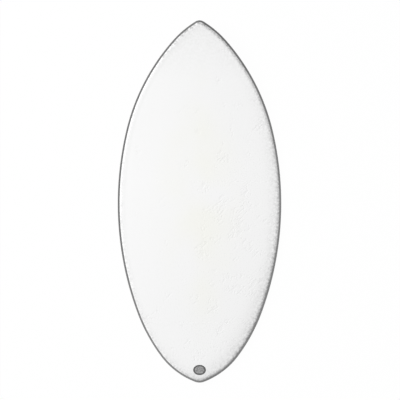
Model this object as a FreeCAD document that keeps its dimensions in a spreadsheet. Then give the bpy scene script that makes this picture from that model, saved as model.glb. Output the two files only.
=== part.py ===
"""Skimboard: a foam core in glass cloth and white resin, with a grey rail and round edges.

Millimetres. +Y points to the nose, +X to the right of someone who looks along +Y, +Z up with the
deck on top. The origin lies on the resting surface, under the middle of the board's box.
"""
import FreeCAD, Part
import math
import os

import Sketcher
from FreeCAD import Vector

# The sheet's rows: alias, value in millimetres, what it measures.
SIZES = (
    ("length", 1140.0, "nose to tail, along Y"),
    ("width", 515.0, "at the widest station"),
    ("thickness", 16.0, "deck to bottom, square to the bottom"),
    ("nose_to_widest", 576.0, "nose tip to the widest station"),
    ("nose_tip_radius", 24.0, "plan radius of the nose tip"),
    ("tail_tip_radius", 41.0, "plan radius of the tail tip"),
    ("nose_rocker_run", 510.0, "length of the curved stretch under the nose"),
    ("nose_rocker_rise", 42.0, "height of the bottom at the nose tip"),
    ("tail_rocker_run", 190.0, "length of the curved stretch under the tail"),
    ("tail_rocker_rise", 6.0, "height of the bottom at the tail tip"),
    ("bottom_edge_radius", 1.5, "rounding of the bottom edge"),
    ("deck_edge_radius", 14.0, "rounding of the deck edge, down the rail"),
    ("rail_band", 6.0, "plan width of the grey rail"),
    ("finish_coat", 0.4, "white resin on the deck and the bottom"),
    ("glass", 0.8, "cloth and resin under each finish coat"),
    ("patch", 0.5, "reinforcing cloth at the nose and the tail"),
    ("nose_patch_reach", 230.0, "nose tip to the patches' round edge"),
    ("tail_patch_reach", 170.0, "tail tip to the patches' round edge"),
    ("badge_across", 40.0, "oval badge, along X"),
    ("badge_along", 32.0, "oval badge, along Y"),
    ("badge_to_tail", 40.0, "badge centre to the tail tip"),
    ("badge_film", 0.3, "thickness of the badge"),
    ("overrun", 30.0, "how far a cutting shape runs past what it cuts"),
)

# Where the arcs of the outline meet, as shares of the half width and of the reach from the widest
# station to the tip, from the widest station outwards.
FORE_BREAK_SHARES = ((0.896, 0.398), (0.321, 0.892))
AFT_BREAK_SHARES = ((0.753, 0.618), (0.47, 0.853))

# A face belongs to the deck or the bottom if its normal has more than this share of up or down.
LEVEL_SHARE = 0.5

ORIGIN = (-1, 1)
AXIS_ALONG = -1
AXIS_UP = -2
START, END, CENTRE = 1, 2, 3


def make_sheet(doc):
    """Return the spreadsheet that holds the driving dimensions."""
    sheet = doc.addObject("Spreadsheet::Sheet", "sizes")
    for row, (alias, value, note) in enumerate(SIZES, 1):
        sheet.set(f"A{row}", alias)
        sheet.set(f"B{row}", str(value))
        sheet.set(f"C{row}", note)
        sheet.setAlias(f"B{row}", alias)
    doc.recompute()
    return sheet


def origin_plane(body, role):
    """Return the body's own origin plane of that role."""
    return next(plane for plane in body.Origin.OriginFeatures if plane.Role == role)


def new_sketch(body, name, role):
    """Add an empty sketch to the body, on one of its origin planes."""
    sketch = body.newObject("Sketcher::SketchObject", name)
    sketch.AttachmentSupport = [(origin_plane(body, role), "")]
    sketch.MapMode = "FlatFace"
    return sketch


def tie(sketch, kind, *where):
    """Add a constraint that has no size."""
    sketch.addConstraint(Sketcher.Constraint(kind, *where))


def size(sketch, kind, where, value, rule):
    """Add a constraint whose size follows the sheet."""
    index = sketch.addConstraint(Sketcher.Constraint(kind, *where, value))
    sketch.setExpression(f"Constraints[{index}]", rule)


def across(sketch, point, value, rule):
    """Set a point's distance from the origin along the sketch's first axis."""
    size(sketch, "DistanceX", (*ORIGIN, *point), value, rule)


def along(sketch, point, value, rule):
    """Set a point's distance from the origin along the sketch's second axis."""
    size(sketch, "DistanceY", (*ORIGIN, *point), value, rule)


def arc(centre, radius, first, last):
    """Return an arc that runs counter-clockwise between two angles in radians."""
    circle = Part.Circle(Vector(*centre, 0), Vector(0, 0, 1), radius)
    return Part.ArcOfCircle(circle, first, last)


def segment(first, last):
    """Return a straight edge between two points of a sketch."""
    return Part.LineSegment(Vector(*first, 0), Vector(*last, 0))


def outline_arcs(half_width, reach, break_shares, tip_radius):
    """Return the tangent arcs from the widest station to the tip: centre, radius and two angles.

    An angle is how far the outline has turned from the long axis. The last arc before the tip meets
    a tip circle whose centre is on the axis.
    """
    arcs = []
    x, y, turned = half_width, 0.0, 0.0
    for half_share, reach_share in break_shares:
        next_x, next_y = half_width * half_share, reach * reach_share
        chord = math.hypot(next_x - x, next_y - y)
        turn = 2 * (math.atan2(x - next_x, next_y - y) - turned)
        radius = chord / (2 * math.sin(turn / 2))
        centre = (x - radius * math.cos(turned), y - radius * math.sin(turned))
        arcs.append((centre, radius, turned, turned + turn))
        x, y, turned = next_x, next_y, turned + turn
    to_tip = reach - tip_radius - y
    slack = tip_radius + to_tip * math.sin(turned) - x * math.cos(turned)
    radius = (tip_radius ** 2 - x ** 2 - to_tip ** 2) / (2 * slack)
    centre = (x - radius * math.cos(turned), y - radius * math.sin(turned))
    last = math.atan2(reach - tip_radius - centre[1], -centre[0])
    arcs.append((centre, radius, turned, last))
    arcs.append(((0.0, reach - tip_radius), tip_radius, last, math.pi - last))
    return arcs


def placed(found, side, end, widest):
    """Return one arc of the outline, mirrored to its side and its end of the board."""
    (x, y), radius, first, last = found
    centre = (side * x, widest + end * y)
    corners = [math.atan2(end * math.sin(turned), side * math.cos(turned)) for turned in (first, last)]
    if side * end < 0:
        corners.reverse()
    return arc(centre, radius, *corners)


def draw_end(sketch, sheet, end, reach, break_shares, tip):
    """Draw and constrain the arcs at one end of the outline and return the first pair.

    The right side carries the sizes, and the left side mirrors it.
    """
    half = sheet.width / 2
    widest = sheet.length / 2 - sheet.nose_to_widest
    tip_radius = sheet.get(f"{tip}_tip_radius")
    *arcs, tip_arc = outline_arcs(half, reach, break_shares, tip_radius)
    near, far = (START, END) if end > 0 else (END, START)
    right = [sketch.addGeometry(placed(found, 1, end, widest), False) for found in arcs]
    left = [sketch.addGeometry(placed(found, -1, end, widest), False) for found in arcs]
    tip_edge = sketch.addGeometry(placed(tip_arc, 1, end, widest), False)
    tie(sketch, "Horizontal", right[0], CENTRE, right[0], near)
    for share, edge in zip(break_shares, right):
        across(sketch, (edge, far), half * share[0], f"sizes.width / 2 * {share[0]}")
        station = "sizes.length / 2 - sizes.nose_to_widest"
        span = "sizes.nose_to_widest" if end > 0 else "(sizes.length - sizes.nose_to_widest)"
        sign = "+" if end > 0 else "-"
        rule = f"{station} {sign} {span} * {share[1]}"
        along(sketch, (edge, far), widest + end * reach * share[1], rule)
    for before, after in zip(right, right[1:] + [tip_edge]):
        tie(sketch, "Tangent", before, far, after, near)
    for before, after in zip(left, left[1:] + [tip_edge]):
        tie(sketch, "Coincident", before, near, after, far)
    for ours, mirrored in zip(right, left):
        tie(sketch, "Equal", ours, mirrored)
    for ours, mirrored in list(zip(right, left))[:-1]:
        tie(sketch, "Symmetric", ours, far, mirrored, near, AXIS_UP)
    tie(sketch, "PointOnObject", tip_edge, CENTRE, AXIS_UP)
    tie(sketch, "Horizontal", tip_edge, START, tip_edge, END)
    size(sketch, "Radius", (tip_edge,), tip_radius, f"sizes.{tip}_tip_radius")
    centre_y = end * (sheet.length / 2 - tip_radius)
    rule = f"{end} * (sizes.length / 2 - sizes.{tip}_tip_radius)"
    along(sketch, (tip_edge, CENTRE), centre_y, rule)
    return right[0], left[0]


def draw_outline(sketch, sheet):
    """Draw the board's outline in plan: six arcs a side and one at each tip, all tangent."""
    fore_reach = sheet.nose_to_widest
    aft_reach = sheet.length - sheet.nose_to_widest
    fore = draw_end(sketch, sheet, 1, fore_reach, FORE_BREAK_SHARES, "nose")
    aft = draw_end(sketch, sheet, -1, aft_reach, AFT_BREAK_SHARES, "tail")
    tie(sketch, "Coincident", fore[0], START, aft[0], END)
    tie(sketch, "Coincident", fore[1], END, aft[1], START)
    tie(sketch, "Symmetric", fore[0], START, fore[1], END, AXIS_UP)
    across(sketch, (fore[0], START), sheet.width / 2, "sizes.width / 2")
    widest = sheet.length / 2 - sheet.nose_to_widest
    along(sketch, (fore[0], START), widest, "sizes.length / 2 - sizes.nose_to_widest")


def draw_profile(sketch, sheet, level, level_rule, limit, limit_rule):
    """Draw a side profile: the rocker line at a height above the bottom, closed at a limit.

    The line is flat amidships and rises along one arc to each tip. Lines at other heights have the
    same arc centres, so the board keeps its thickness.
    """
    reach = sheet.length / 2 + sheet.overrun
    flat_nose = sheet.length / 2 - sheet.nose_rocker_run
    flat_tail = sheet.tail_rocker_run - sheet.length / 2
    nose = (sheet.nose_rocker_run ** 2 + sheet.nose_rocker_rise ** 2) / (2 * sheet.nose_rocker_rise)
    tail = (sheet.tail_rocker_run ** 2 + sheet.tail_rocker_rise ** 2) / (2 * sheet.tail_rocker_rise)
    nose_end = -math.acos((reach - flat_nose) / (nose - level))
    tail_end = math.acos((reach + flat_tail) / (tail - level)) - math.pi
    nose_z = nose + (nose - level) * math.sin(nose_end)
    tail_z = tail + (tail - level) * math.sin(tail_end)
    down = -math.pi / 2
    edges = [
        segment((flat_tail, level), (flat_nose, level)),
        arc((flat_nose, nose), nose - level, down, nose_end),
        segment((reach, nose_z), (reach, limit)),
        segment((reach, limit), (-reach, limit)),
        segment((-reach, limit), (-reach, tail_z)),
        arc((flat_tail, tail), tail - level, tail_end, down),
    ]
    flat, nose_arc, nose_drop, far_side, tail_drop, tail_arc = sketch.addGeometry(edges, False)
    tie(sketch, "Horizontal", flat)
    tie(sketch, "Tangent", flat, END, nose_arc, START)
    tie(sketch, "Tangent", tail_arc, END, flat, START)
    tie(sketch, "Coincident", nose_arc, END, nose_drop, START)
    tie(sketch, "Coincident", nose_drop, END, far_side, START)
    tie(sketch, "Coincident", far_side, END, tail_drop, START)
    tie(sketch, "Coincident", tail_drop, END, tail_arc, START)
    tie(sketch, "Vertical", nose_drop)
    tie(sketch, "Vertical", tail_drop)
    tie(sketch, "Horizontal", far_side)
    across(sketch, (flat, START), flat_tail, "sizes.tail_rocker_run - sizes.length / 2")
    across(sketch, (flat, END), flat_nose, "sizes.length / 2 - sizes.nose_rocker_run")
    across(sketch, (nose_drop, END), reach, "sizes.length / 2 + sizes.overrun")
    across(sketch, (tail_drop, START), -reach, "-(sizes.length / 2 + sizes.overrun)")
    for edge, end, radius in ((nose_arc, "nose", nose), (tail_arc, "tail", tail)):
        run, rise = f"sizes.{end}_rocker_run", f"sizes.{end}_rocker_rise"
        rule = f"({run} ^ 2 + {rise} ^ 2) / (2 * {rise}) - {level_rule}"
        size(sketch, "Radius", (edge,), radius - level, rule)
    if level:
        along(sketch, (flat, START), level, level_rule)
    else:
        tie(sketch, "PointOnObject", flat, START, AXIS_ALONG)
    along(sketch, (far_side, START), limit, limit_rule)


def rim(shape, side):
    """Return the names of the edges round the deck (1) or the bottom (-1)."""
    names = []
    for number, edge in enumerate(shape.Edges, 1):
        levels = []
        for face in shape.ancestorsOfType(edge, Part.Face):
            first_u, last_u, first_v, last_v = face.ParameterRange
            normal = face.normalAt((first_u + last_u) / 2, (first_v + last_v) / 2)
            levels.append(side * normal.z)
        if min(levels) < LEVEL_SHARE < max(levels):
            names.append(f"Edge{number}")
    return names


def cut_profile(doc, body, sketch, name):
    """Cut a side profile right through the board, and check that it took something off."""
    before = body.Tip.Shape.Volume
    pocket = body.newObject("PartDesign::Pocket", name)
    pocket.Profile = sketch
    pocket.Midplane = True
    pocket.setExpression("Length", "sizes.width + 2 * sizes.overrun")
    doc.recompute()
    if pocket.Shape.Volume >= before:
        raise RuntimeError(f"{name} took nothing off")
    return pocket


def round_rim(doc, body, base, side, name):
    """Round the rim of the deck (1) or the bottom (-1), and check that it took something off."""
    edge = body.newObject("PartDesign::Fillet", name)
    edge.Base = (base, rim(base.Shape, side))
    edge.setExpression("Radius", f"sizes.{name}_radius")
    doc.recompute()
    if edge.Shape.Volume >= base.Shape.Volume:
        raise RuntimeError(f"{name} took nothing off")
    return edge


def make_form(doc, sheet):
    """Return the whole board as one body: outline, rocker and round edges.

    The deck's edge is rounded before the bottom is cut, so that its radius may come close to the
    board's thickness.
    """
    body = doc.addObject("PartDesign::Body", "board_form")
    outline = new_sketch(body, "outline", "XY_Plane")
    draw_outline(outline, sheet)
    clear = sheet.nose_rocker_rise + sheet.tail_rocker_rise + sheet.thickness + sheet.overrun
    clear_rule = "sizes.nose_rocker_rise + sizes.tail_rocker_rise + sizes.thickness + sizes.overrun"
    blank = body.newObject("PartDesign::Pad", "blank")
    blank.Profile = outline
    blank.Midplane = True
    blank.setExpression("Length", f"2 * ({clear_rule})")
    doc.recompute()
    limit, limit_rule = clear + sheet.overrun, f"({clear_rule} + sizes.overrun)"
    topside = new_sketch(body, "topside", "YZ_Plane")
    draw_profile(topside, sheet, sheet.thickness, "sizes.thickness", limit, limit_rule)
    deck_cut = cut_profile(doc, body, topside, "deck_cut")
    round_rim(doc, body, deck_cut, 1, "deck_edge")
    underside = new_sketch(body, "underside", "YZ_Plane")
    draw_profile(underside, sheet, 0.0, "0", -limit, f"-{limit_rule}")
    bottom_cut = cut_profile(doc, body, underside, "bottom_cut")
    round_rim(doc, body, bottom_cut, -1, "bottom_edge")
    return body, outline


def moved_form(doc, form, name, rule):
    """Return the board's form lifted by a rule of the sheet, as a bound for the layers."""
    copy = doc.addObject("Part::Compound", name)
    copy.Links = [form]
    copy.setExpression("Placement.Base.z", rule)
    return copy


def common(doc, name, *shapes):
    """Return what the shapes share."""
    result = doc.addObject("Part::MultiCommon", name)
    result.Shapes = list(shapes)
    return result


def cut(doc, name, base, tool):
    """Return the base without the tool."""
    result = doc.addObject("Part::Cut", name)
    result.Base = base
    result.Tool = tool
    return result


def make_inside(doc, outline):
    """Return the upright space inside the grey rail."""
    inset = doc.addObject("Part::Offset2D", "rail_inner_line")
    inset.Source = outline
    inset.setExpression("Value", "-sizes.rail_band")
    inside = doc.addObject("Part::Extrusion", "inside_of_rail")
    inside.Base = inset
    inside.DirMode = "Custom"
    inside.Dir = Vector(0, 0, 1)
    inside.Solid = True
    inside.setExpression("LengthFwd", "sizes.nose_rocker_rise + sizes.thickness + sizes.overrun")
    inside.setExpression("LengthRev", "sizes.overrun")
    return inside


def make_patch_post(doc, name, reach, centre):
    """Return the upright round post that bounds the patches at one tip."""
    post = doc.addObject("Part::Cylinder", name)
    post.setExpression("Radius", reach)
    post.setExpression("Height", "sizes.nose_rocker_rise + sizes.thickness + 2 * sizes.overrun")
    post.setExpression("Placement.Base.y", centre)
    post.setExpression("Placement.Base.z", "-sizes.overrun")
    return post


def make_badge(doc, form):
    """Return the oval badge, which follows the deck near the tail."""
    oval = doc.addObject("Part::Ellipse", "badge_oval")
    oval.setExpression("MajorRadius", "sizes.badge_across / 2")
    oval.setExpression("MinorRadius", "sizes.badge_along / 2")
    oval.setExpression("Placement.Base.y", "sizes.badge_to_tail - sizes.length / 2")
    column = doc.addObject("Part::Extrusion", "badge_column")
    column.Base = oval
    column.DirMode = "Custom"
    column.Dir = Vector(0, 0, 1)
    column.Solid = True
    column.setExpression("LengthFwd", "sizes.tail_rocker_rise + sizes.thickness + sizes.overrun")
    top = moved_form(doc, form, "badge_top", "sizes.badge_film")
    blank = common(doc, "badge_blank", top, column)
    return cut(doc, "tail_badge", blank, form)


def make_layers(doc, form, inside):
    """Return the rail, the finish coats, the glass and the core before its patches are let in."""
    under_coat = "sizes.finish_coat"
    under_glass = "(sizes.finish_coat + sizes.glass)"
    deck_glass_top = moved_form(doc, form, "deck_glass_top", f"-{under_coat}")
    core_top = moved_form(doc, form, "core_top", f"-{under_glass}")
    bottom_glass_face = moved_form(doc, form, "bottom_glass_face", under_coat)
    core_bottom = moved_form(doc, form, "core_bottom", under_glass)
    plate = common(doc, "plate", form, inside)
    below_deck_coat = common(doc, "below_deck_coat", deck_glass_top, inside)
    above_bottom_coat = common(doc, "above_bottom_coat", bottom_glass_face, inside)
    pieces = {
        "perimeter_rail": cut(doc, "perimeter_rail", form, inside),
        "deck_finish_coat": cut(doc, "deck_finish_coat", plate, deck_glass_top),
        "bottom_finish_coat": cut(doc, "bottom_finish_coat", plate, bottom_glass_face),
        "deck_glass": cut(doc, "deck_glass", below_deck_coat, core_top),
        "bottom_glass": cut(doc, "bottom_glass", above_bottom_coat, core_bottom),
    }
    core_blank = common(doc, "core_blank", core_top, inside, core_bottom)
    return pieces, core_blank


def make_patches(doc, form, core_blank):
    """Return the four patches and the core with room for them.

    A patch lies between the glass and the core. It ends in a round edge about the tip.
    """
    depth = "(sizes.finish_coat + sizes.glass + sizes.patch)"
    faces = (
        ("deck", moved_form(doc, form, "core_top_under_patches", f"-{depth}")),
        ("bottom", moved_form(doc, form, "core_bottom_over_patches", depth)),
    )
    posts = (
        ("nose", make_patch_post(doc, "nose_post", "sizes.nose_patch_reach", "sizes.length / 2")),
        ("tail", make_patch_post(doc, "tail_post", "sizes.tail_patch_reach", "-sizes.length / 2")),
    )
    patches = {}
    core = core_blank
    for end, post in posts:
        for side, face in faces:
            name = f"{end}_{side}_patch"
            space = cut(doc, f"{name}_space", post, face)
            patches[name] = common(doc, name, core_blank, space)
            core = cut(doc, f"core_with_{name}", core, space)
    return patches, core


def check(doc, pieces):
    """Stop if any object failed, or a piece isn't one sound solid."""
    for item in doc.Objects:
        if "Invalid" in item.State or "Error" in item.State:
            raise RuntimeError(f"{item.Name} failed: {item.State}")
    for name, piece in pieces.items():
        shape = piece.Shape
        if shape.isNull() or not shape.isValid() or len(shape.Solids) != 1:
            raise RuntimeError(f"{name} isn't one sound solid")
        print(f"{name:20s} {shape.Volume / 1000:9.2f} cm3")


def main():
    """Build the board and write one file for each piece."""
    doc = FreeCAD.newDocument("skimboard")
    sheet = make_sheet(doc)
    form, outline = make_form(doc, sheet)
    inside = make_inside(doc, outline)
    pieces, core_blank = make_layers(doc, form, inside)
    patches, core = make_patches(doc, form, core_blank)
    pieces.update(patches)
    pieces["foam_core"] = core
    pieces["tail_badge"] = make_badge(doc, form)
    for name, piece in pieces.items():
        piece.Label = name
    doc.recompute()
    check(doc, pieces)
    os.makedirs("parts", exist_ok=True)
    for name, piece in pieces.items():
        piece.Shape.exportStep(os.path.join("parts", f"{name}.step"))


main()
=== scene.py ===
"""Skimboard in white epoxy with a grey rail, seen from straight above on a white ground.

Metres, in the board's own frame: +Y to the nose, +Z out of the deck, the origin on the ground under
the middle of the board.
"""
import logging
import math
from dataclasses import dataclass
from enum import Enum
from functools import cache

import bmesh
import bpy
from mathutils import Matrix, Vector


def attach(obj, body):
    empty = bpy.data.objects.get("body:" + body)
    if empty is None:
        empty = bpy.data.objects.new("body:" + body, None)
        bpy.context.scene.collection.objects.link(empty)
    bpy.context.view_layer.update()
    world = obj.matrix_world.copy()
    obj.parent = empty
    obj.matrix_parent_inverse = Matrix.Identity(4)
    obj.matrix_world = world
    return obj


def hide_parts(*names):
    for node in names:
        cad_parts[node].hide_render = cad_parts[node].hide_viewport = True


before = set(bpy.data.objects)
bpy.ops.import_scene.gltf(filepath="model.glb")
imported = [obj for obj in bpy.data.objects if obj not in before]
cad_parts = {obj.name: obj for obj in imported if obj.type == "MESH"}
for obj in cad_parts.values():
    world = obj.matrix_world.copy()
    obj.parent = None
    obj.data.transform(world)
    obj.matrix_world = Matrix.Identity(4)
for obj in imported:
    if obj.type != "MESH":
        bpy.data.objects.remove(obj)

# In a finish a Pair is where something starts and where it is whole or gone: two distances from
# the outline, two places or, where the name ends in noise, two levels of a noise texture.
Pair = tuple[float, float]
Point = tuple[float, float, float]
Piece = bpy.types.Object
Material = bpy.types.Material
Tree = bpy.types.NodeTree
Node = bpy.types.Node
Socket = bpy.types.NodeSocket
Inputs = dict[str | int | tuple, object]

MM = 0.001
LOG = logging.getLogger("skimboard")
EDGE_LAYER = "from_edge"
# Sanding marks grow this way over the deck, to the right and a little to the tail; so do the painted
# shade of the deck's edge and the rail's paler painted grey.
WEAR_AND_SHADE_WAY: Point = (1.0, -0.25, 0.0)
# Pairs of inputs: a Map Range node's limits, and the numbers or the colours that a Mix node runs
# between, by number because several have one name.
FROM = ("From Min", "From Max")
TO = ("To Min", "To Max")
NUMBERS = (2, 3)
COLOURS = (6, 7)
# A wave texture of scale 1 turns through this many radians in a metre.
WAVE_PACE = 20


class Side(Enum):
    """The two faces of the board."""

    DECK = 1
    BOTTOM = -1


class Tip(Enum):
    """The two ends of the board, as the sign of their Y."""

    NOSE = 1
    TAIL = -1


@dataclass(frozen=True)
class Rocker:
    """How one end of the bottom rises: one arc, tangent to the flat middle."""

    run: float
    rise: float

    @property
    def radius(self) -> float:
        """Radius of the arc at the bottom."""
        return (self.run ** 2 + self.rise ** 2) / (2 * self.rise)


@dataclass(frozen=True)
class PlanArc:
    """An arc of the outline in plan, for the right side of one end.

    The angles say how far the outline has turned from the long axis, counted from the widest
    station.
    """

    centre: Pair
    radius: float
    first: float
    last: float

    @property
    def length(self) -> float:
        """Length along the arc."""
        return self.radius * (self.last - self.first)

    def at(self, share: float) -> tuple[float, float, float]:
        """Return a point and its turn.

        Args:
            share: how far along the arc, from 0 to 1.

        Returns:
            The point's x, its y from the widest station, and the outline's turn there.
        """
        turn = self.first + (self.last - self.first) * share
        x = self.centre[0] + self.radius * math.cos(turn)
        y = self.centre[1] + self.radius * math.sin(turn)
        return x, y, turn


@dataclass(frozen=True)
class Station:
    """A place on the right half of the outline, with the direction to the inside."""

    x: float
    y: float
    inward: Vector


@dataclass(frozen=True)
class Rounding:
    """The arc that rounds one rim at a station, between two directions out of its centre."""

    centre: Vector
    radius: float
    wall: Vector
    face: Vector

    @property
    def whole(self) -> float:
        """Angle between the two directions."""
        return self.wall.angle(self.face)

    def direction(self, angle: float) -> Vector:
        """Return the direction out of the centre at an angle from the wall."""
        blend = self.wall * math.sin(self.whole - angle) + self.face * math.sin(angle)
        return blend / math.sin(self.whole)

    def row(self, first: float, last: float, steps: int) -> list[Vector]:
        """Return points over the arc.

        Args:
            first: angle from the wall at the first point.
            last: angle at the last point.
            steps: how many steps to take.

        Returns:
            The points.
        """
        angles = [first + (last - first) * step / steps for step in range(steps + 1)]
        return [self.centre + self.direction(angle) * self.radius for angle in angles]


@dataclass(frozen=True)
class BoardForm:
    """The board's real sizes and the surfaces that follow from them."""

    length: float = 1140 * MM
    width: float = 515 * MM
    thickness: float = 16 * MM
    nose_to_widest: float = 576 * MM
    tip_radii: Pair = (24 * MM, 41 * MM)
    nose_rocker: Rocker = Rocker(510 * MM, 42 * MM)
    tail_rocker: Rocker = Rocker(190 * MM, 6 * MM)
    bottom_edge: float = 1.5 * MM
    deck_edge: float = 14 * MM
    rail_band: float = 6 * MM
    coat: float = 0.4 * MM
    # Where each arc of the outline ends, from the widest station on: shares of the half width and
    # of the way to the tip.
    fore_break_shares: tuple[Pair, ...] = ((0.896, 0.398), (0.321, 0.892))
    aft_break_shares: tuple[Pair, ...] = ((0.753, 0.618), (0.47, 0.853))
    settling_rounds: int = 6
    angle_slack: float = 1e-9

    @property
    def widest(self) -> float:
        """Y of the widest station."""
        return self.length / 2 - self.nose_to_widest

    @property
    def band_angle(self) -> float:
        """Angle from the wall, over the deck's round rim, at which the grey rail ends."""
        return math.acos(1 - self.rail_band / self.deck_edge)

    @cache
    def end_arcs(self, tip: Tip) -> list[PlanArc]:
        """Return the tangent arcs of one end, from the widest station to the tip.

        Args:
            tip: which end.

        Returns:
            The arcs, of which the last is the tip's own, up to the long axis.
        """
        nose = tip is Tip.NOSE
        reach = self.nose_to_widest if nose else self.length - self.nose_to_widest
        shares = self.fore_break_shares if nose else self.aft_break_shares
        tip_radius = self.tip_radii[0 if nose else 1]
        half = self.width / 2
        arcs: list[PlanArc] = []
        x, y, turned = half, 0.0, 0.0
        for half_share, reach_share in shares:
            next_x, next_y = half * half_share, reach * reach_share
            turn = 2 * (math.atan2(x - next_x, next_y - y) - turned)
            radius = math.hypot(next_x - x, next_y - y) / (2 * math.sin(turn / 2))
            centre = (x - radius * math.cos(turned), y - radius * math.sin(turned))
            arcs.append(PlanArc(centre, radius, turned, turned + turn))
            x, y, turned = next_x, next_y, turned + turn
        to_tip = reach - tip_radius - y
        slack = tip_radius + to_tip * math.sin(turned) - x * math.cos(turned)
        radius = (tip_radius ** 2 - x ** 2 - to_tip ** 2) / (2 * slack)
        centre = (x - radius * math.cos(turned), y - radius * math.sin(turned))
        last = math.atan2(reach - tip_radius - centre[1], -centre[0])
        arcs.append(PlanArc(centre, radius, turned, last))
        arcs.append(PlanArc((0.0, reach - tip_radius), tip_radius, last, math.pi / 2))
        return arcs

    def stations(self, spacing: float, steps_at_tip: int) -> list[Station]:
        """Return places along the right half of the outline, from the nose to the tail.

        Args:
            spacing: the largest distance between two of them.
            steps_at_tip: how many steps the small arc at each tip has.

        Returns:
            The stations; the first and the last lie on the long axis.
        """
        found: list[Station] = []
        for tip in (Tip.NOSE, Tip.TAIL):
            end: list[Station] = []
            arcs = self.end_arcs(tip)
            for arc in arcs:
                steps = max(steps_at_tip if arc is arcs[-1] else 1, math.ceil(arc.length / spacing))
                for step in range(steps):
                    end.append(self.station(arc, step / steps, tip))
            end.append(self.station(arcs[-1], 1.0, tip))
            found += end[::-1] if tip is Tip.NOSE else end[1:]
        return found

    def station(self, arc: PlanArc, share: float, tip: Tip) -> Station:
        """Return the station at a share of an arc's length.

        Args:
            arc: one of the outline's arcs.
            share: how far along it.
            tip: the end that the arc belongs to.

        Returns:
            The station in the board's frame.
        """
        x, y, turn = arc.at(share)
        inward = Vector((-math.cos(turn), -tip.value * math.sin(turn), 0.0))
        if abs(turn - math.pi / 2) < self.angle_slack:
            x, inward.x = 0.0, 0.0
        return Station(x, self.widest + tip.value * y, inward)

    def level(self, y: float, above: float) -> tuple[float, float]:
        """Return the height and the slope of a surface that runs parallel to the bottom.

        Args:
            y: place along the board.
            above: distance above the bottom, square to it.

        Returns:
            The surface's height, and its slope dz/dy.
        """
        for tip, rocker in ((Tip.NOSE, self.nose_rocker), (Tip.TAIL, self.tail_rocker)):
            past = tip.value * y - (self.length / 2 - rocker.run)
            if past > 0:
                drop = math.sqrt((rocker.radius - above) ** 2 - past ** 2)
                return rocker.radius - drop, tip.value * past / drop
        return above, 0.0

    def rounding(self, place: Station, side: Side) -> Rounding:
        """Return the rounding of one rim at a station, between the wall and the face.

        Args:
            place: the station.
            side: which rim.

        Returns:
            The rounding.
        """
        radius = self.deck_edge if side is Side.DECK else self.bottom_edge
        above = self.thickness if side is Side.DECK else 0.0
        centre = Vector((place.x, place.y, 0.0)) + place.inward * radius
        height, slope = self.level(centre.y, above)
        centre.z = height - side.value * radius * math.hypot(1.0, slope)
        face = Vector((0.0, -slope, 1.0)).normalized() * side.value
        return Rounding(centre, radius, -place.inward, face)

    def rim(self, place: Station) -> tuple[Rounding, float, Rounding]:
        """Return the deck's rounding, the angle at which it starts, and the bottom's rounding.

        Amidships a narrow upright wall is left between the two. Towards the nose the bottom rises
        under the deck's rounding, the wall is gone, and the small rounding is tangent to the large
        one.

        Args:
            place: the station.

        Returns:
            The two roundings and, between them, the angle from the wall.
        """
        deck = self.rounding(place, Side.DECK)
        bottom = self.rounding(place, Side.BOTTOM)
        if deck.centre.z >= bottom.centre.z:
            return deck, 0.0, bottom
        reach = self.deck_edge - self.bottom_edge
        start = 0.0
        for _ in range(self.settling_rounds):
            centre = deck.centre + deck.direction(start) * reach
            height, slope = self.level(centre.y, 0.0)
            lift = height + self.bottom_edge * math.hypot(1.0, slope) - deck.centre.z
            start = math.asin(lift * math.sin(deck.whole) / (reach * deck.face.z))
        meeting = deck.direction(start)
        small = Rounding(deck.centre + meeting * reach, self.bottom_edge, meeting, bottom.face)
        return deck, start, small

    def rail_foot(self, place: Station) -> Vector:
        """Return where the grey rail ends on the bottom at a station.

        Args:
            place: the station.

        Returns:
            The point on the bottom.
        """
        foot = Vector((place.x, place.y, 0.0)) + place.inward * self.rail_band
        foot.z = self.level(foot.y, 0.0)[0]
        return foot

    def from_edge(self, x: float, y: float) -> float:
        """Return how far a place on the deck lies inside the outline, in plan.

        Args:
            x: place across the board.
            y: place along the board.

        Returns:
            The distance.
        """
        tip = Tip.NOSE if y > self.widest else Tip.TAIL
        aside, ahead = abs(x), tip.value * (y - self.widest)
        found = self.width / 2 - aside
        for arc in self.end_arcs(tip):
            across, along = aside - arc.centre[0], ahead - arc.centre[1]
            if arc.first <= math.atan2(along, across) <= arc.last:
                found = min(found, arc.radius - math.hypot(across, along))
        return found


def linear(code: str) -> tuple[float, float, float, float]:
    """Turn an sRGB hex colour into linear light.

    Args:
        code: six hex digits after a hash sign.

    Returns:
        Red, green, blue and an alpha of 1.
    """
    parts: list[float] = []
    for start in (1, 3, 5):
        value = int(code[start:start + 2], 16) / 255
        parts.append(value / 12.92 if value <= 0.04045 else ((value + 0.055) / 1.055) ** 2.4)
    return parts[0], parts[1], parts[2], 1.0


def add_node(tree: Tree, kind: str, inputs: Inputs | None = None, **settings: object) -> Node:
    """Add a shader node with its settings and its links.

    Args:
        tree: the node tree.
        kind: the node's type.
        inputs: for an input, by name or number, its value, the socket that feeds it, or the node
            whose first output in use feeds it. A tuple of inputs has a tuple of these.
        settings: the node's own properties.

    Returns:
        The node.
    """
    node = tree.nodes.new(kind)
    for name, value in settings.items():
        setattr(node, name, value)
    for names, values in (inputs or {}).items():
        pairs = zip(names, values) if isinstance(names, tuple) else [(names, values)]
        for name, value in pairs:
            if isinstance(value, Node):
                value = next(output for output in value.outputs if output.enabled)
            if isinstance(value, Socket):
                tree.links.new(value, node.inputs[name])
            else:
                node.inputs[name].default_value = value
    return node


def new_material(name: str) -> tuple[Material, Tree]:
    """Add an empty node material.

    Args:
        name: what it is called.

    Returns:
        The material and its node tree.
    """
    made = bpy.data.materials.new(name)
    made.use_nodes = True
    made.node_tree.nodes.clear()
    return made, made.node_tree


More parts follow.
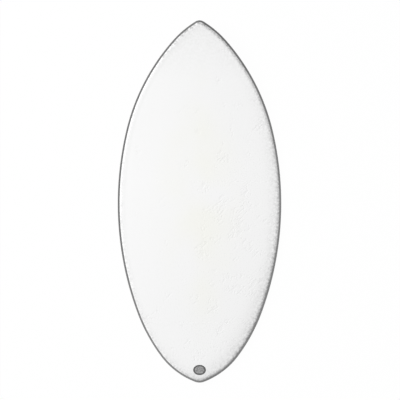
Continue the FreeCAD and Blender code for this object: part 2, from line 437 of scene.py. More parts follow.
@dataclass(frozen=True)
class PigmentedEpoxy:
    """White pigmented epoxy over cloth, brushed on, wet sanded and buffed.

    It gives an even pale face with a soft sheen, a little yellowed over the middle. Sanding marks
    lie in loose groups, most of them towards the right of the tail. Beside the rail, where the
    cloth laps over, the face is grained. Painted shade greys it there: on the left it dims the
    lamp's highlight on the rounded edge, and along the right side, round the nose and to the right of
    the tail it stands for the shade where the face turns from the lamp.
    """

    name: str = "white_pigmented_epoxy"
    fresh: str = "#F6F6F6"
    aged: str = "#F5F5F0"
    scuffed: str = "#B5B5B5"
    # All the painted shade beside the rail and at the tail is mixed towards this grey.
    lap_and_shade_grey: str = "#8F8F8F"
    roughness: float = 0.48
    scuffed_roughness: float = 0.68
    # The yellowing lies in broad patches over the middle.
    patch: float = 160 * MM
    patch_noise: Pair = (0.34, 0.62)
    yellowed: Pair = (100 * MM, 230 * MM)
    # Sanding marks and grains are well under 1 mm wide. These are drawn at 6 or 7 mm, to show.
    grain: float = 6 * MM
    lap_grain: float = 7 * MM
    scuff_long: float = 28 * MM
    scuff_wide: float = 7 * MM
    scuff_turn: float = math.radians(-45)
    scuff_noise: Pair = (0.58, 0.68)
    scuff_share: float = 0.03
    scuff_depth: float = 0.30 * MM
    # Between two places on the way of wear and shade the groups grow, by what is added to their
    # noise.
    group: float = 45 * MM
    group_noise: Pair = (0.54, 0.64)
    group_over: Pair = (-150 * MM, 250 * MM)
    group_growth: Pair = (-0.13, 0.08)
    # The brush left slow ripples.
    ripple: float = 80 * MM
    ripple_depth: float = 0.48 * MM
    ripple_strength: float = 0.3
    # Cloth of this class has a thread about every 1.3 mm. It is drawn at 5 mm, to show at all.
    weave: float = 5 * MM
    weave_depth: float = 0.12 * MM
    weave_strength: float = 0.08
    # The lap is grained, and greyed with painted shade that dims the lamp's highlight on the rounded
    # edge; its grain shows in the relief a little further in.
    lap: Pair = (8 * MM, 17 * MM)
    lap_shade_share: float = 0.21
    lap_noise: Pair = (0.30, 0.70)
    lap_noise_shares: Pair = (0.2, 1.8)
    grained: Pair = (14 * MM, 26 * MM)
    grained_depth: float = 0.6 * MM
    # The painted shade of the right side fades inwards by a power, and grows between two places on
    # the way of wear and shade.
    right_shade: Pair = (6 * MM, 80 * MM)
    right_shade_power: float = 4.0
    right_shade_share: float = 0.36
    right_shade_over: Pair = (-100 * MM, 260 * MM)
    # Painted shade greys the nose from one place along the board to the other, most at its edge,
    # where the rocker turns the face from the lamp.
    nose: Pair = (380 * MM, 560 * MM)
    nose_shade_share: float = 0.07
    nose_edge_shade_share: float = 0.09
    # To the right of the tail painted shade lies inside the rail: a thin grey, and a darker strip
    # next to the rail.
    tail_shade_way: Point = (1.0, -0.7, 0.0)
    tail_shade_over: Pair = (330 * MM, 400 * MM)
    tail_shade_share: float = 0.08
    rail_side_shade: Pair = (7 * MM, 10 * MM)
    rail_side_shade_share: float = 0.30

    def build(self) -> Material:
        """Make the material.

        Returns:
            The material.
        """
        made, tree = new_material(self.name)
        place = add_node(tree, "ShaderNodeTexCoord").outputs["Object"]
        edge = add_node(tree, "ShaderNodeAttribute", attribute_name=EDGE_LAYER,
                        attribute_type="GEOMETRY").outputs["Fac"]
        grain = add_node(tree, "ShaderNodeTexNoise", {
            "Vector": place, "Scale": 1 / self.lap_grain, "Detail": 1.0})
        marks = self.scuffs(tree, place)
        colour = self.colour(tree, place, edge, marks)
        gloss = add_node(tree, "ShaderNodeMapRange", {
            "Value": marks, TO: (self.roughness, self.scuffed_roughness)})
        shader = add_node(tree, "ShaderNodeBsdfPrincipled", {
            "Base Color": self.painted_shade(tree, place, edge, grain, colour), "Roughness": gloss,
            "Normal": self.relief(tree, place, edge, grain, marks),
            "IOR": 1.5, "Coat Weight": 0.15, "Coat Roughness": 0.30})
        add_node(tree, "ShaderNodeOutputMaterial", {"Surface": shader})
        return made

    def scuffs(self, tree: Tree, place: Socket) -> Node:
        """Return the sanding marks, 1 on a mark: streaks and specks in loose groups.

        Args:
            tree: the node tree.
            place: the place on the object.

        Returns:
            The node that gives the marks.
        """
        turned = add_node(tree, "ShaderNodeMapping", {
            "Vector": place, "Rotation": (0.0, 0.0, self.scuff_turn),
            "Scale": (1.0, self.scuff_long / self.scuff_wide, 1.0)}, vector_type="TEXTURE")
        found: list[Node] = []
        for where, size in ((turned, self.scuff_wide), (place, self.grain)):
            noise = add_node(tree, "ShaderNodeTexNoise", {
                "Vector": where, "Scale": 1 / size, "Detail": 0.0})
            found.append(add_node(tree, "ShaderNodeMapRange", {
                "Value": noise, FROM: self.scuff_noise}))
        both = add_node(tree, "ShaderNodeMath", {(0, 1): found}, operation="MAXIMUM")
        group = add_node(tree, "ShaderNodeTexNoise", {
            "Vector": place, "Scale": 1 / self.group, "Detail": 1.0})
        far = add_node(tree, "ShaderNodeVectorMath", {0: place, 1: WEAR_AND_SHADE_WAY},
                       operation="DOT_PRODUCT")
        growth = add_node(tree, "ShaderNodeMapRange", {
            "Value": far, FROM: self.group_over, TO: self.group_growth})
        grown = add_node(tree, "ShaderNodeMath", {0: group, 1: growth}, operation="ADD")
        shown = add_node(tree, "ShaderNodeMapRange", {"Value": grown, FROM: self.group_noise})
        return add_node(tree, "ShaderNodeMath", {0: both, 1: shown}, operation="MULTIPLY")

    def colour(self, tree: Tree, place: Socket, edge: Socket, marks: Node) -> Node:
        """Return the white with its yellowing and its sanding marks.

        Args:
            tree: the node tree.
            place: the place on the object.
            edge: the distance from the outline.
            marks: the sanding marks.

        Returns:
            The node that gives the colour.
        """
        patch = add_node(tree, "ShaderNodeTexNoise", {
            "Vector": place, "Scale": 1 / self.patch, "Detail": 1.0})
        inland = add_node(tree, "ShaderNodeMapRange", {"Value": edge, FROM: self.yellowed})
        yellow = add_node(tree, "ShaderNodeMapRange", {
            "Value": patch, FROM: self.patch_noise, TO: (0.0, inland)})
        base = add_node(tree, "ShaderNodeMix", {
            0: yellow, COLOURS: (linear(self.fresh), linear(self.aged))}, data_type="RGBA")
        shown = add_node(tree, "ShaderNodeMapRange", {"Value": marks, TO: (0.0, self.scuff_share)})
        return add_node(tree, "ShaderNodeMix", {
            0: shown, COLOURS: (base, linear(self.scuffed))}, data_type="RGBA")

    def painted_shade(self, tree: Tree, place: Socket, edge: Socket, grain: Node, colour: Node) -> Node:
        """Return the colour with the painted shade beside the rail, in grains, and to the right of
        the tail.

        Args:
            tree: the node tree.
            place: the place on the object.
            edge: the distance from the outline.
            grain: the lap's noise.
            colour: the colour without it.

        Returns:
            The node that gives the colour.
        """
        near = add_node(tree, "ShaderNodeMapRange", {
            "Value": edge, FROM: self.right_shade, TO: (1.0, 0.0)})
        grains = add_node(tree, "ShaderNodeMapRange", {
            "Value": grain, FROM: self.lap_noise, TO: self.lap_noise_shares})
        # All the grey mixed in here is painted shade, broken into grains by the lap's noise.
        amount = add_node(tree, "ShaderNodeMath", {
            0: self.painted_edge_shade(tree, place, edge, near), 1: grains,
            2: self.tail_shade(tree, place, edge, near)}, operation="MULTIPLY_ADD")
        return add_node(tree, "ShaderNodeMix", {
            0: amount, COLOURS: (colour, linear(self.lap_and_shade_grey))}, data_type="RGBA")

    def painted_edge_shade(self, tree: Tree, place: Socket, edge: Socket, near: Node) -> Node:
        """Return the share of painted shade beside the rail: on the left it dims the lamp's
        highlight, and along the right side and at the nose it stands for the shade where the face
        turns from the lamp.

        Args:
            tree: the node tree.
            place: the place on the object.
            edge: the distance from the outline.
            near: 1 at the rail, and less inwards.

        Returns:
            The node that gives the share of grey.
        """
        # Painted shade: the grey on the left dims the lamp's highlight on the rounded edge, and the
        # grey on the right stands for the shade of the edge turned from the lamp.
        lap = add_node(tree, "ShaderNodeMapRange", {
            "Value": edge, FROM: self.lap, TO: (self.lap_shade_share, 0.0)},
            interpolation_type="SMOOTHSTEP")
        far = add_node(tree, "ShaderNodeVectorMath", {0: place, 1: WEAR_AND_SHADE_WAY},
                       operation="DOT_PRODUCT")
        right = add_node(tree, "ShaderNodeMapRange", {"Value": far, FROM: self.right_shade_over},
                         interpolation_type="SMOOTHSTEP")
        fading = add_node(tree, "ShaderNodeMath", {0: near, 1: self.right_shade_power},
                          operation="POWER")
        right_shade = add_node(tree, "ShaderNodeMath", {0: fading, 1: self.right_shade_share},
                          operation="MULTIPLY")
        sides = add_node(tree, "ShaderNodeMix", {0: right, NUMBERS: (lap, right_shade)})
        along = add_node(tree, "ShaderNodeSeparateXYZ", {"Vector": place}).outputs["Y"]
        nose = add_node(tree, "ShaderNodeMapRange", {"Value": along, FROM: self.nose})
        edges = add_node(tree, "ShaderNodeMath", {
            0: fading, 1: self.nose_edge_shade_share, 2: self.nose_shade_share}, operation="MULTIPLY_ADD")
        more = add_node(tree, "ShaderNodeMath", {0: sides, 1: edges}, operation="ADD")
        return add_node(tree, "ShaderNodeMath", {0: nose, 1: more, 2: sides},
                        operation="MULTIPLY_ADD")

    def tail_shade(self, tree: Tree, place: Socket, edge: Socket, near: Node) -> Node:
        """Return the painted shade to the right of the tail: a thin grey, and a darker strip next to
        the rail where the rounded edge turns from the lamp.

        Args:
            tree: the node tree.
            place: the place on the object.
            edge: the distance from the outline.
            near: 1 at the rail, and less inwards.

        Returns:
            The node that gives the share of grey.
        """
        # Painted shade, where the rounded edge at the right of the tail turns from the lamp.
        aft = add_node(tree, "ShaderNodeVectorMath", {0: place, 1: self.tail_shade_way},
                       operation="DOT_PRODUCT")
        zone = add_node(tree, "ShaderNodeMapRange", {"Value": aft, FROM: self.tail_shade_over})
        rail_side_shade = add_node(tree, "ShaderNodeMapRange", {
            "Value": edge, FROM: self.rail_side_shade, TO: (self.rail_side_shade_share, 0.0)})
        inside = add_node(tree, "ShaderNodeMath", {0: near, 1: self.tail_shade_share, 2: rail_side_shade},
                          operation="MULTIPLY_ADD")
        return add_node(tree, "ShaderNodeMath", {0: zone, 1: inside}, operation="MULTIPLY")

    def relief(self, tree: Tree, place: Socket, edge: Socket, grain: Node, marks: Node) -> Node:
        """Return the normal: slow ripples, the cloth's threads, the marks and the lap's grain.

        Args:
            tree: the node tree.
            place: the place on the object.
            edge: the distance from the outline.
            grain: the lap's noise.
            marks: the sanding marks.

        Returns:
            The node that gives the normal.
        """
        ripple = add_node(tree, "ShaderNodeTexNoise", {
            "Vector": place, "Scale": 1 / self.ripple, "Detail": 2.0})
        waves: list[Socket] = []
        for way in ("X", "Y"):
            threads = add_node(tree, "ShaderNodeTexWave", {
                "Vector": place, "Scale": math.tau / WAVE_PACE / self.weave}, bands_direction=way)
            waves.append(threads.outputs["Fac"])
        cloth = add_node(tree, "ShaderNodeMath", {(0, 1): waves}, operation="ADD")
        zone = add_node(tree, "ShaderNodeMapRange", {
            "Value": edge, FROM: self.grained, TO: (1.0, 0.0)}, interpolation_type="SMOOTHSTEP")
        grained = add_node(tree, "ShaderNodeMath", {0: grain, 1: zone}, operation="MULTIPLY")
        layers = ((ripple, self.ripple_depth, self.ripple_strength),
                  (cloth, self.weave_depth, self.weave_strength),
                  (marks, -self.scuff_depth, 1.0),
                  (grained, self.grained_depth, 1.0))
        below: Inputs = {}
        for height, depth, strength in layers:
            normal = add_node(tree, "ShaderNodeBump", {
                "Height": height, "Distance": depth, "Strength": strength, **below})
            below = {"Normal": normal}
        return normal


@dataclass(frozen=True)
class TintedRailResin:
    """Grey-tinted casting resin, poured round the edge and sanded to shape.

    It gives a flat dark grey with a satin sheen and fine scratches. It is painted paler towards the
    right and the tail, on the side turned from the lamp, and darker on the lit left: painted light
    and shade that even out the lamp's shading.
    """

    name: str = "grey_rail_resin"
    grey: str = "#4F4F4F"
    # The two greys are painted light and shade: the dark one on the lit left, the pale one towards
    # the right and the tail, turned from the lamp.
    shade_lifted_grey: str = "#929292"
    worn: str = "#A4A4A4"
    roughness: float = 0.60
    worn_roughness: float = 0.75
    shade_lift_over: Pair = (-250 * MM, 250 * MM)
    # Scratches are under 0.1 mm wide. They are drawn at 1.5 mm and rubbed specks at 6 mm, to show.
    rubbed: float = 6 * MM
    rubbed_noise: Pair = (0.45, 0.80)
    worn_share: float = 0.25
    scratch: float = 1.5 * MM
    depth: float = 0.08 * MM

    def build(self) -> Material:
        """Make the material.

        Returns:
            The material.
        """
        made, tree = new_material(self.name)
        place = add_node(tree, "ShaderNodeTexCoord").outputs["Object"]
        far = add_node(tree, "ShaderNodeVectorMath", {0: place, 1: WEAR_AND_SHADE_WAY},
                       operation="DOT_PRODUCT")
        # Painted light and shade: paler on the side turned from the lamp, darker on the lit side.
        shade_lift = add_node(tree, "ShaderNodeMapRange", {"Value": far, FROM: self.shade_lift_over})
        base = add_node(tree, "ShaderNodeMix", {
            0: shade_lift, COLOURS: (linear(self.grey), linear(self.shade_lifted_grey))}, data_type="RGBA")
        rub = add_node(tree, "ShaderNodeTexNoise", {
            "Vector": place, "Scale": 1 / self.rubbed, "Detail": 3.0, "Roughness": 0.6})
        wear = add_node(tree, "ShaderNodeMapRange", {
            "Value": rub, FROM: self.rubbed_noise, TO: (0.0, self.worn_share)})
        colour = add_node(tree, "ShaderNodeMix", {
            0: wear, COLOURS: (base, linear(self.worn))}, data_type="RGBA")
        fine = add_node(tree, "ShaderNodeTexNoise", {"Vector": place, "Scale": 1 / self.scratch})
        normal = add_node(tree, "ShaderNodeBump", {
            "Height": fine, "Distance": self.depth, "Strength": 0.4})
        gloss = add_node(tree, "ShaderNodeMapRange", {
            "Value": wear, "From Max": self.worn_share,
            TO: (self.roughness, self.worn_roughness)})
        shader = add_node(tree, "ShaderNodeBsdfPrincipled", {
            "Base Color": colour, "Roughness": gloss, "Normal": normal, "IOR": 1.5})
        add_node(tree, "ShaderNodeOutputMaterial", {"Surface": shader})
        return made


@dataclass(frozen=True)
class PrintedVinyl:
    """Printed vinyl film under a thin clear coat, for the badge.

    It gives a mottled mid grey field, in two greys that run into each other.
    """

    name: str = "grey_vinyl"
    field_grey: str = "#A5A5A5"
    blotch: str = "#797979"
    roughness: float = 0.38
    mottle: float = 5 * MM
    mottle_noise: Pair = (0.38, 0.62)
    # The film's own grain is finer than 0.1 mm. It is drawn at 1 mm, to show.
    grain: float = 1 * MM
    depth: float = 0.05 * MM

    def build(self) -> Material:
        """Make the material.

        Returns:
            The material.
        """
        made, tree = new_material(self.name)
        place = add_node(tree, "ShaderNodeTexCoord").outputs["Object"]
        cloud = add_node(tree, "ShaderNodeTexNoise", {
            "Vector": place, "Scale": 1 / self.mottle, "Detail": 2.0})
        share = add_node(tree, "ShaderNodeMapRange", {"Value": cloud, FROM: self.mottle_noise})
        base = add_node(tree, "ShaderNodeMix", {
            0: share, COLOURS: (linear(self.field_grey), linear(self.blotch))}, data_type="RGBA")
        fine = add_node(tree, "ShaderNodeTexNoise", {"Vector": place, "Scale": 1 / self.grain})
        normal = add_node(tree, "ShaderNodeBump", {
            "Height": fine, "Distance": self.depth, "Strength": 0.3})
        shader = add_node(tree, "ShaderNodeBsdfPrincipled", {
            "Base Color": base, "Normal": normal, "Roughness": self.roughness, "IOR": 1.5})
        add_node(tree, "ShaderNodeOutputMaterial", {"Surface": shader})
        return made


@dataclass(frozen=True)
class ClosedCellFoam:
    """Rigid closed-cell foam, sawn and sanded: pale straw, matt, with open cells at its face."""

    name: str = "closed_cell_foam"
    wall: str = "#E6DCB8"
    pit: str = "#CBBE93"
    cell: float = 1.2 * MM
    # A pit is deepest up to the first share of a cell's size from its middle, and ends at the second.
    pit_shares: Pair = (0.1, 0.6)
    depth: float = 0.3 * MM

    def build(self) -> Material:
        """Make the material.

        Returns:
            The material.
        """
        made, tree = new_material(self.name)
        place = add_node(tree, "ShaderNodeTexCoord").outputs["Object"]
        cells = add_node(tree, "ShaderNodeTexVoronoi", {"Vector": place, "Scale": 1 / self.cell})
        pit = add_node(tree, "ShaderNodeMapRange", {
            "Value": cells, FROM: self.pit_shares, TO: (1.0, 0.0)})
        base = add_node(tree, "ShaderNodeMix", {
            0: pit, COLOURS: (linear(self.wall), linear(self.pit))}, data_type="RGBA")
        normal = add_node(tree, "ShaderNodeBump", {
            "Height": pit, "Distance": -self.depth, "Strength": 0.6})
        shader = add_node(tree, "ShaderNodeBsdfPrincipled", {
            "Base Color": base, "Normal": normal, "Roughness": 0.9})
        add_node(tree, "ShaderNodeOutputMaterial", {"Surface": shader})
        return made


@dataclass(frozen=True)
class GlassLaminate:
    """Woven glass cloth wetted out with epoxy: greenish grey, with its plain weave showing."""

    name: str = "glass_cloth_laminate"
    yarn: str = "#C3CCC4"
    gap: str = "#9FAAA0"
    thread: float = 1.3 * MM
    depth: float = 0.1 * MM

    def build(self) -> Material:
        """Make the material.

        Returns:
            The material.
        """
        made, tree = new_material(self.name)
        place = add_node(tree, "ShaderNodeTexCoord").outputs["Object"]
        weave = add_node(tree, "ShaderNodeTexChecker", {
            "Vector": place, "Scale": 1 / self.thread,
            "Color1": linear(self.yarn), "Color2": linear(self.gap)})
        normal = add_node(tree, "ShaderNodeBump", {
            "Height": weave.outputs["Fac"], "Distance": self.depth, "Strength": 0.5})
        shader = add_node(tree, "ShaderNodeBsdfPrincipled", {
            "Base Color": weave, "Normal": normal, "Roughness": 0.35, "IOR": 1.52})
        add_node(tree, "ShaderNodeOutputMaterial", {"Surface": shader})
        return made


class MeshMaker:
    """Gathers points and faces and turns them into an object with smooth faces."""

    merge_within = 0.002 * MM
    sharp_over = math.radians(40)

    def __init__(self, name: str) -> None:
        """Start an empty mesh.

        Args:
            name: what the piece is called.
        """
        self.name = name
        self.points: list[Point] = []
        self.faces: list[tuple[int, ...]] = []

    def row(self, points: list[Vector]) -> list[int]:
        """Add a row of points.

        Args:
            points: the points, in order.

        Returns:
            Their numbers.
        """
        first = len(self.points)
        self.points += [tuple(point) for point in points]
        return list(range(first, first + len(points)))

    def net(self, rows: list[list[int]]) -> None:
        """Join each row to the next with quads, or with triangles where points coincide.

        Args:
            rows: rows of points' numbers, all of one length.
        """
        for first, second in zip(rows, rows[1:]):
            for at in range(len(first) - 1):
                corners = (first[at], first[at + 1], second[at + 1], second[at])
                kept = tuple(dict.fromkeys(corners))
                if len(kept) > 2:
                    self.faces.append(kept)

    def build(self, material: Material) -> Piece:
        """Return the object, with doubled points merged and its faces turned outwards.

        Args:
            material: what it is made of.

        Returns:
            The object, linked to the scene.
        """
        mesh = bpy.data.meshes.new(self.name)
        mesh.from_pydata(self.points, [], self.faces)
        work = bmesh.new()
        work.from_mesh(mesh)
        bmesh.ops.remove_doubles(work, verts=work.verts, dist=self.merge_within)
        bmesh.ops.dissolve_degenerate(work, edges=work.edges, dist=self.merge_within)
        bmesh.ops.recalc_face_normals(work, faces=work.faces)
        open_edges = sum(not edge.is_manifold for edge in work.edges)
        if open_edges:
            LOG.warning("%s: %d edges aren't closed", self.name, open_edges)
        work.to_mesh(mesh)
        work.free()
        mesh.shade_smooth()
        mesh.set_sharp_from_angle(angle=self.sharp_over)
        mesh.materials.append(material)
        made = bpy.data.objects.new(self.name, mesh)
        bpy.context.scene.collection.objects.link(made)
        return made


def mirrored(points: list[Vector]) -> list[Vector]:
    """Return the points on the other side of the long axis, in the same order."""
    return [Vector((-point.x, point.y, point.z)) for point in points]


@dataclass
class Skin:
    """A finish coat: a thin closed shell over the deck or under the bottom."""

    form: BoardForm
    side: Side
    name: str
    node: str
    finish: PigmentedEpoxy
    spacing: float = 7 * MM
    tip_steps: int = 14
    round_steps: int = 8
    half_steps: int = 24
    # The points across a row crowd towards the rail, where the finish changes most.
    crowding: float = 1.6

    def edge_row(self, place: Station) -> list[Vector]:
        """Return the points from the rail to where the flat of the face starts.

        Args:
            place: the station.

        Returns:
            The points, at least one.
        """
        if self.side is Side.BOTTOM:
            return [self.form.rail_foot(place)]
        rounding = self.form.rounding(place, Side.DECK)
        return rounding.row(self.form.band_angle, rounding.whole, self.round_steps)

    def rows(self) -> list[list[Vector]]:
        """Return rows of points across the whole face.

        Returns:
            One row a station, from the right rail to the left.
        """
        above = self.form.thickness if self.side is Side.DECK else 0.0
        found: list[list[Vector]] = []
        for place in self.form.stations(self.spacing, self.tip_steps):
            half = self.edge_row(place)
            start = half[-1]
            height = self.form.level(start.y, above)[0]
            for step in range(1, self.half_steps):
                share = 1 - (step / self.half_steps) ** self.crowding
                half.append(Vector((start.x * share, start.y, height)))
            middle = Vector((0.0, start.y, height))
            found.append(half + [middle] + mirrored(half)[::-1])
        return found

    def note_edge(self, piece: Piece) -> None:
        """Keep each point's distance from the outline in the mesh, for the finish.

        Args:
            piece: the finished shell.
        """
        layer = piece.data.attributes.new(EDGE_LAYER, "FLOAT", "POINT")
        for vertex, kept in zip(piece.data.vertices, layer.data):
            kept.value = self.form.from_edge(vertex.co.x, vertex.co.y)

    def build(self) -> Piece:
        """Build the closed shell.

        Returns:
            The shell, riding on the board.
        """
        maker = MeshMaker(self.name)
        rows = self.rows()
        inner_shift = Vector((0.0, 0.0, -self.side.value * self.form.coat))
        outer = [maker.row(points) for points in rows]
        inner = [maker.row([point + inner_shift for point in points]) for points in rows]
        maker.net(outer)
        maker.net(inner)
        for end in (0, -1):
            maker.net([[row[end] for row in face] for face in (outer, inner)])
        piece = maker.build(self.finish.build())
        self.note_edge(piece)
        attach(piece, "root")
        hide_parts(self.node)
        return piece


@dataclass
class Rail:
    """The grey resin edge, all the way round the board."""

    form: BoardForm
    finish: TintedRailResin
    name: str = "rail_band"
    node: str = "perimeter_rail"
    spacing: float = 6 * MM
    tip_steps: int = 14
    deck_steps: int = 12
    bottom_steps: int = 6

    def section(self, place: Station) -> list[Vector]:
        """Return the closed section at a station, from the deck round to the inner wall.

        Args:
            place: the station.

        Returns:
            The points, with the first repeated at the end.
        """
        over, start, under = self.form.rim(place)
        deck = over.row(start, self.form.band_angle, self.deck_steps)
        bottom = under.row(0.0, under.whole, self.bottom_steps)
        return deck[::-1] + bottom + [self.form.rail_foot(place), deck[-1]]

    def build(self) -> Piece:
        """Build the closed ring.

        Returns:
            The ring, riding on the board.
        """
        maker = MeshMaker(self.name)
        places = self.form.stations(self.spacing, self.tip_steps)
        right = [maker.row(self.section(place)) for place in places]
        left = [maker.row(mirrored(self.section(place))) for place in places]
        maker.net(right + left[::-1] + [right[0]])
        piece = maker.build(self.finish.build())
        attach(piece, "root")
        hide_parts(self.node)
        return piece


@dataclass
class Badge:
    """The plain oval badge on the deck at the tail: a film with a raised darker rim.

    The rim is a darker grey, worn like the rail, so its finish is of the rail's kind.
    """

    form: BoardForm
    finish: PrintedVinyl
    rim_finish: TintedRailResin
    name: str = "tail_oval"
    node: str = "tail_badge"
    across: float = 40 * MM
    along: float = 32 * MM
    to_tail: float = 40 * MM
    film: float = 0.3 * MM
    field_drop: float = 0.12 * MM
    rim_width: float = 4 * MM
    # How far the rim's two slopes run inwards, measured along the board.
    outer_slope: float = 0.48 * MM
    inner_slope: float = 0.72 * MM
    turns: int = 96
    rings: int = 8

    @property
    def centre_y(self) -> float:
        """Y of the oval's middle."""
        return self.to_tail - self.form.length / 2

    def ring(self, share: float, height: float) -> list[Vector]:
        """Return one closed ring of points.

        Args:
            share: size of the ring as a share of the whole oval.
            height: height above the deck.

        Returns:
            The points, with the first repeated at the end.
        """
        points: list[Vector] = []
        for turn in range(self.turns + 1):
            angle = math.tau * (turn % self.turns) / self.turns
            x = self.across / 2 * share * math.cos(angle)
            y = self.centre_y + self.along / 2 * share * math.sin(angle)
            level = self.form.level(y, self.form.thickness)[0]
            points.append(Vector((x, y, level + height)))
        return points

    def paint_rim(self, piece: Piece, inner_share: float) -> None:
        """Give the rim's faces the darker finish.

        Args:
            piece: the badge.
            inner_share: where the rim ends, as a share of the oval.
        """
        piece.data.materials.append(self.rim_finish.build())
        for face in piece.data.polygons:
            x = face.center.x / (self.across / 2)
            y = (face.center.y - self.centre_y) / (self.along / 2)
            if math.hypot(x, y) > inner_share:
                face.material_index = 1

    def build(self) -> Piece:
        """Build the badge.

        Returns:
            The badge, riding on the board.
        """
        maker = MeshMaker(self.name)
        half = self.along / 2
        inner_share = 1 - self.rim_width / half
        field_height = self.film - self.field_drop
        ring_shares = [1 - step / self.rings for step in range(self.rings + 1)]
        top = [(1.0, 0.0), (1.0, field_height), (1 - self.outer_slope / half, self.film),
               (inner_share + self.inner_slope / half, self.film)]
        top += [(inner_share * share, field_height) for share in ring_shares]
        for profile in (top, [(share, 0.0) for share in ring_shares]):
            maker.net([maker.row(self.ring(share, height)) for share, height in profile])
        piece = maker.build(self.finish.build())
        self.paint_rim(piece, inner_share)
        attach(piece, "root")
        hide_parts(self.node)
        return piece


@dataclass
class HiddenLayers:
    """The layers that the finish coats and the rail cover."""

    foam: ClosedCellFoam = ClosedCellFoam()
    glass: GlassLaminate = GlassLaminate()
    patch: GlassLaminate = GlassLaminate("patch_cloth_laminate", "#B4BDB6", "#8F9A91")
    core_nodes: tuple[str, ...] = ("foam_core",)
    glass_nodes: tuple[str, ...] = ("deck_glass", "bottom_glass")
    patch_nodes: tuple[str, ...] = (
        "nose_deck_patch", "nose_bottom_patch", "tail_deck_patch", "tail_bottom_patch")

    def dress(self) -> list[str]:
        """Give each layer its material.

        Returns:
            The layers' names.
        """
        dressed: list[str] = []
        for names, finish in ((self.core_nodes, self.foam), (self.glass_nodes, self.glass),
                              (self.patch_nodes, self.patch)):
            material = finish.build()
            for name in names:
                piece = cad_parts[name]
                piece.data.materials.clear()
                piece.data.materials.append(material)
                dressed.append(name)
        return dressed


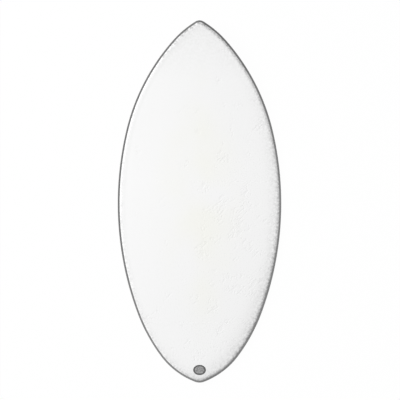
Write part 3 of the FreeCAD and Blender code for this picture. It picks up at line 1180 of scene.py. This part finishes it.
@dataclass
class Studio:
    """The white ground, the soft light from the upper left and the camera straight above."""

    camera_height: float = 20.0
    camera_reach: float = 200.0
    # The photograph's 400 pixels take in this much at the ground.
    view_width: float = 1260.3 * MM
    aim: Pair = (1.5 * MM, 5.0 * MM)
    sensor: float = 36 * MM
    paper_white: str = "#F4F4F4"
    floor_size: float = 30.0
    floor_level: float = -0.05 * MM
    background_share: float = 0.98
    # The key stands to the left and a little towards the nose.
    key_distance: float = 5.5
    key_turn: float = math.radians(20)
    key_rise: float = math.radians(33)
    key_side: float = 2.4
    key_power: float = 230.0
    sky_white: str = "#FFFFFF"
    sky: float = 0.59

    def build_camera(self) -> None:
        """Put the camera straight above, with the nose at the top of the picture."""
        data = bpy.data.cameras.new("view_from_above")
        data.sensor_width = self.sensor / MM
        data.lens = self.sensor / MM * self.camera_height / self.view_width
        data.clip_end = self.camera_reach
        camera = bpy.data.objects.new("view_from_above", data)
        camera.location = (*self.aim, self.camera_height)
        bpy.context.scene.collection.objects.link(camera)
        bpy.context.scene.camera = camera

    def build_key(self) -> None:
        """Add the large soft lamp at the upper left of the picture."""
        data = bpy.data.lights.new("soft_key", "AREA")
        data.energy = self.key_power
        data.size = self.key_side
        level = math.cos(self.key_rise)
        towards = Vector((-math.cos(self.key_turn) * level, math.sin(self.key_turn) * level,
                          math.sin(self.key_rise)))
        lamp = bpy.data.objects.new("soft_key", data)
        lamp.location = towards * self.key_distance
        lamp.rotation_euler = towards.to_track_quat("Z", "Y").to_euler()
        lamp.visible_camera = False
        bpy.context.scene.collection.objects.link(lamp)

    def seen_rays(self, tree: Tree) -> Node:
        """Return 1 for what the camera sees, straight or in a mirror or through glass.

        Args:
            tree: the node tree.

        Returns:
            The node that gives it.
        """
        path = add_node(tree, "ShaderNodeLightPath")
        total = path.outputs["Is Camera Ray"]
        for name in ("Is Glossy Ray", "Is Transmission Ray"):
            total = add_node(tree, "ShaderNodeMath", {0: total, 1: path.outputs[name]},
                             operation="MAXIMUM")
        return total

    def build_floor(self) -> None:
        """Add the white ground, which keeps a faint shadow."""
        made, tree = new_material("white_ground")
        share = add_node(tree, "ShaderNodeMath", {
            0: self.seen_rays(tree), 1: self.background_share}, operation="MULTIPLY")
        paper = add_node(tree, "ShaderNodeBsdfDiffuse", {"Color": linear(self.paper_white)})
        glow = add_node(tree, "ShaderNodeEmission", {"Strength": 1.0})
        both = add_node(tree, "ShaderNodeMixShader", {0: share, 1: paper, 2: glow})
        add_node(tree, "ShaderNodeOutputMaterial", {"Surface": both})
        half = self.floor_size / 2
        mesh = bpy.data.meshes.new("ground")
        corners = [(x, y, self.floor_level) for x, y in (
            (-half, -half), (half, -half), (half, half), (-half, half))]
        mesh.from_pydata(corners, [], [(0, 1, 2, 3)])
        mesh.materials.append(made)
        ground = bpy.data.objects.new("ground", mesh)
        bpy.context.scene.collection.objects.link(ground)

    def build_sky(self) -> None:
        """Make the world white to the camera and a soft even light to the board."""
        world = bpy.data.worlds.new("studio_white")
        world.use_nodes = True
        tree = world.node_tree
        tree.nodes.clear()
        strength = add_node(tree, "ShaderNodeMapRange", {
            "Value": self.seen_rays(tree), TO: (self.sky, 1.0)})
        glow = add_node(tree, "ShaderNodeBackground", {
            "Color": linear(self.sky_white), "Strength": strength})
        add_node(tree, "ShaderNodeOutputWorld", {"Surface": glow})
        bpy.context.scene.world = world

    def build(self) -> None:
        """Set the stage."""
        self.build_camera()
        self.build_key()
        self.build_floor()
        self.build_sky()
        bpy.context.scene.view_settings.view_transform = "Standard"


def main() -> None:
    """Build the board piece by piece, set the stage and log each piece's face count."""
    logging.basicConfig(level=logging.INFO, format="%(name)s: %(message)s")
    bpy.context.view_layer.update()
    form = BoardForm()
    epoxy = PigmentedEpoxy()
    # The bottom has its sanding marks along the board and less painted shade beside the rail than the
    # deck.
    bottom_epoxy = PigmentedEpoxy("white_epoxy_bottom", scuff_turn=math.radians(4),
                                scuff_long=60 * MM, right_shade_share=0.1, tail_shade_share=0.03,
                                rail_side_shade_share=0.0)
    rim_vinyl = TintedRailResin("badge_rim_vinyl", "#505050", "#505050", "#686868")
    makers = (
        Skin(form, Side.DECK, "deck_skin", "deck_finish_coat", epoxy),
        Skin(form, Side.BOTTOM, "bottom_skin", "bottom_finish_coat", bottom_epoxy),
        Rail(form, TintedRailResin()),
        Badge(form, PrintedVinyl(), rim_vinyl),
    )
    for maker in makers:
        piece = maker.build()
        LOG.info("%s: %d faces", piece.name, len(piece.data.polygons))
    for name in HiddenLayers().dress():
        LOG.info("%s: dressed", name)
    Studio().build()


if __name__ == "__main__":
    main()
